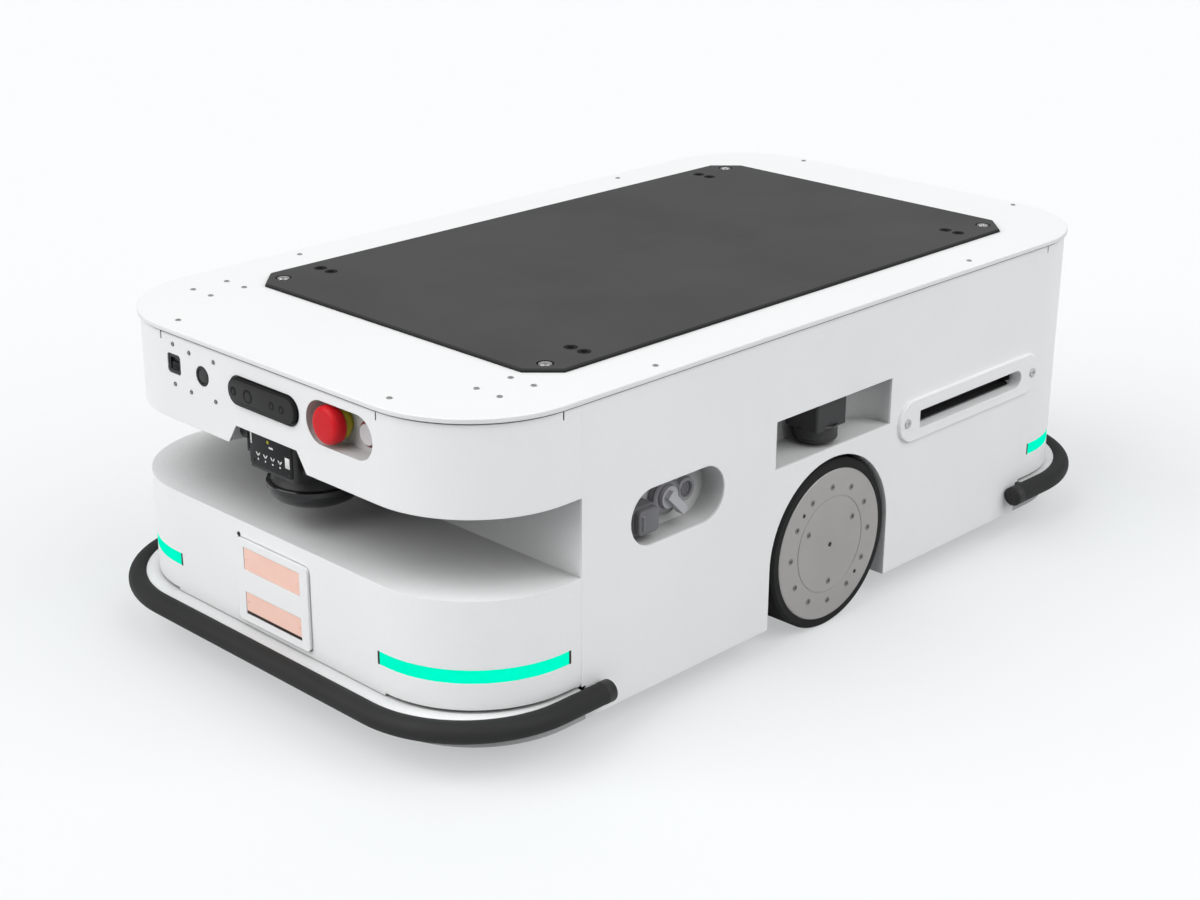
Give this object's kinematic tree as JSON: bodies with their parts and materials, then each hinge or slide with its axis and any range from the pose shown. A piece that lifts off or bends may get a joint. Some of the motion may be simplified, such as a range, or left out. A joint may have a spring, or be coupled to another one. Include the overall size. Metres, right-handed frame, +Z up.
{
  "type": "autonomous mobile robot",
  "caption": "Low autonomous mobile robot with a payload deck, sprung drive wheels, swivel casters, contact bumpers, safety scanners, a stop button and a connector pocket.",
  "frame": {"origin": "on the floor, at the middle of the footprint", "axes": "+X to the robot's front, +Y to its left, +Z up"},
  "size_m": [1.1484, 0.6474, 0.378],
  "materials": {
    "white_paint": "satin powder coat",
    "black_paint": "fine texture",
    "grey_paint": "satin",
    "steel": "zinc plated",
    "contact_metal": "copper alloy, satin",
    "hub_metal": "anodised",
    "motor_metal": "cast",
    "tyre": "polyurethane",
    "caster_tyre": "satin",
    "soft_rubber": "matte",
    "gloss_black": "gloss",
    "dark_plastic": "matte",
    "pale_plastic": "satin",
    "red_plastic": "satin",
    "yellow_plastic": "satin",
    "light_diffuser": "translucent, lit"
  },
  "bodies": {
    "chassis": {"battery_pack": "dark_plastic", "camera_bezel": "gloss_black", "caster_plates": "steel", "charging_contacts": "contact_metal", "charging_panel": "white_paint", "chassis_base": "grey_paint", "chassis_frame": "black_paint", "control_box": "dark_plastic", "control_pocket": "white_paint", "deck_plate": "black_paint", "deck_screws": "steel", "depth_camera": "gloss_black", "front_fascia": "white_paint", "front_lights": "light_diffuser", "front_lower_shell": "white_paint", "front_ports": "dark_plastic", "front_scanner_body": "dark_plastic", "front_scanner_hood": "gloss_black", "left_handle": "white_paint", "left_scanner": "gloss_black", "left_scanner_bay": "white_paint", "left_side_panel": "white_paint", "left_spring": "steel", "panel_screws": "steel", "pocket_sockets": "dark_plastic", "rear_lights": "light_diffuser", "rear_shell": "white_paint", "right_handle": "white_paint", "right_scanner": "gloss_black", "right_scanner_bay": "white_paint", "right_side_panel": "white_paint", "right_spring": "steel", "side_pocket": "white_paint", "start_ring": "red_plastic", "stop_collar": "yellow_plastic", "switch_base": "dark_plastic", "top_cover": "white_paint"},
    "left_wheel": {"left_hub": "hub_metal", "left_tyre": "tyre"},
    "right_wheel": {"right_hub": "hub_metal", "right_tyre": "tyre"},
    "left_arm": {"left_drive_unit": "motor_metal"},
    "right_arm": {"right_drive_unit": "motor_metal"},
    "stop_stem": {"stop_stem": "dark_plastic"},
    "stop_head": {"stop_head": "red_plastic"},
    "start_button": {"start_button": "pale_plastic"},
    "main_switch": {"switch_knob": "pale_plastic"},
    "front_bumper": {"front_bumper_plate": "white_paint", "front_bumper_tube": "soft_rubber"},
    "rear_bumper": {"rear_bumper_plate": "white_paint", "rear_bumper_tube": "soft_rubber"},
    "front_left_fork": {"front_left_caster_fork": "steel"},
    "front_left_roller": {"front_left_caster_wheel": "caster_tyre"},
    "front_right_fork": {"front_right_caster_fork": "steel"},
    "front_right_roller": {"front_right_caster_wheel": "caster_tyre"},
    "rear_left_fork": {"rear_left_caster_fork": "steel"},
    "rear_left_roller": {"rear_left_caster_wheel": "caster_tyre"},
    "rear_right_fork": {"rear_right_caster_fork": "steel"},
    "rear_right_roller": {"rear_right_caster_wheel": "caster_tyre"}
  },
  "joints": [
    {"name": "left_arm_swing", "type": "hinge", "parent": "chassis", "child": "left_arm", "pos_m": [0.105, 0.189, 0.105], "axis": [0, 1, 0], "range_deg": [-4, 1.5], "stiffness_Nm_per_rad": 200, "springref_deg": -8.02, "deforming": ["left_spring"]},
    {"name": "left_wheel_spin", "type": "hinge", "parent": "left_arm", "child": "left_wheel", "pos_m": [-0.0075, 0.277, 0.1], "axis": [0, 1, 0], "continuous": true},
    {"name": "right_arm_swing", "type": "hinge", "parent": "chassis", "child": "right_arm", "pos_m": [0.105, -0.189, 0.105], "axis": [0, 1, 0], "range_deg": [-4, 1.5], "stiffness_Nm_per_rad": 200, "springref_deg": -8.02, "deforming": ["right_spring"]},
    {"name": "right_wheel_spin", "type": "hinge", "parent": "right_arm", "child": "right_wheel", "pos_m": [-0.0075, -0.277, 0.1], "axis": [0, 1, 0], "continuous": true},
    {"name": "front_left_swivel", "type": "hinge", "parent": "chassis", "child": "front_left_fork", "pos_m": [0.405, 0.18, 0.1], "axis": [0, 0, 1], "continuous": true},
    {"name": "front_left_roll", "type": "hinge", "parent": "front_left_fork", "child": "front_left_roller", "pos_m": [0.378, 0.18, 0.0375], "axis": [0, 1, 0], "continuous": true},
    {"name": "front_right_swivel", "type": "hinge", "parent": "chassis", "child": "front_right_fork", "pos_m": [0.405, -0.18, 0.1], "axis": [0, 0, 1], "continuous": true},
    {"name": "front_right_roll", "type": "hinge", "parent": "front_right_fork", "child": "front_right_roller", "pos_m": [0.378, -0.18, 0.0375], "axis": [0, 1, 0], "continuous": true},
    {"name": "rear_left_swivel", "type": "hinge", "parent": "chassis", "child": "rear_left_fork", "pos_m": [-0.405, 0.18, 0.1], "axis": [0, 0, 1], "continuous": true},
    {"name": "rear_left_roll", "type": "hinge", "parent": "rear_left_fork", "child": "rear_left_roller", "pos_m": [-0.432, 0.18, 0.0375], "axis": [0, 1, 0], "continuous": true},
    {"name": "rear_right_swivel", "type": "hinge", "parent": "chassis", "child": "rear_right_fork", "pos_m": [-0.405, -0.18, 0.1], "axis": [0, 0, 1], "continuous": true},
    {"name": "rear_right_roll", "type": "hinge", "parent": "rear_right_fork", "child": "rear_right_roller", "pos_m": [-0.432, -0.18, 0.0375], "axis": [0, 1, 0], "continuous": true},
    {"name": "front_bumper_press", "type": "slide", "parent": "chassis", "child": "front_bumper", "axis": [-1, 0, 0], "range_m": [0, 0.008], "stiffness_N_per_m": 3000, "springref_m": -0.003},
    {"name": "rear_bumper_press", "type": "slide", "parent": "chassis", "child": "rear_bumper", "axis": [1, 0, 0], "range_m": [0, 0.008], "stiffness_N_per_m": 3000, "springref_m": -0.003},
    {"name": "stop_press", "type": "slide", "parent": "chassis", "child": "stop_stem", "axis": [-1, 0, 0], "range_m": [0, 0.005], "stiffness_N_per_m": 600, "springref_m": -0.004},
    {"name": "stop_twist", "type": "hinge", "parent": "stop_stem", "child": "stop_head", "pos_m": [0.53, 0.1, 0.333], "axis": [1, 0, 0], "range_deg": [0, 40], "stiffness_Nm_per_rad": 0.05, "springref_deg": -5.73},
    {"name": "start_press", "type": "slide", "parent": "chassis", "child": "start_button", "axis": [-1, 0, 0], "range_m": [0, 0.0025], "stiffness_N_per_m": 500, "springref_m": -0.002},
    {"name": "switch_turn", "type": "hinge", "parent": "chassis", "child": "main_switch", "pos_m": [0.2415, 0.28, 0.2245], "axis": [0, 1, 0], "range_deg": [0, 90]}
  ]
}
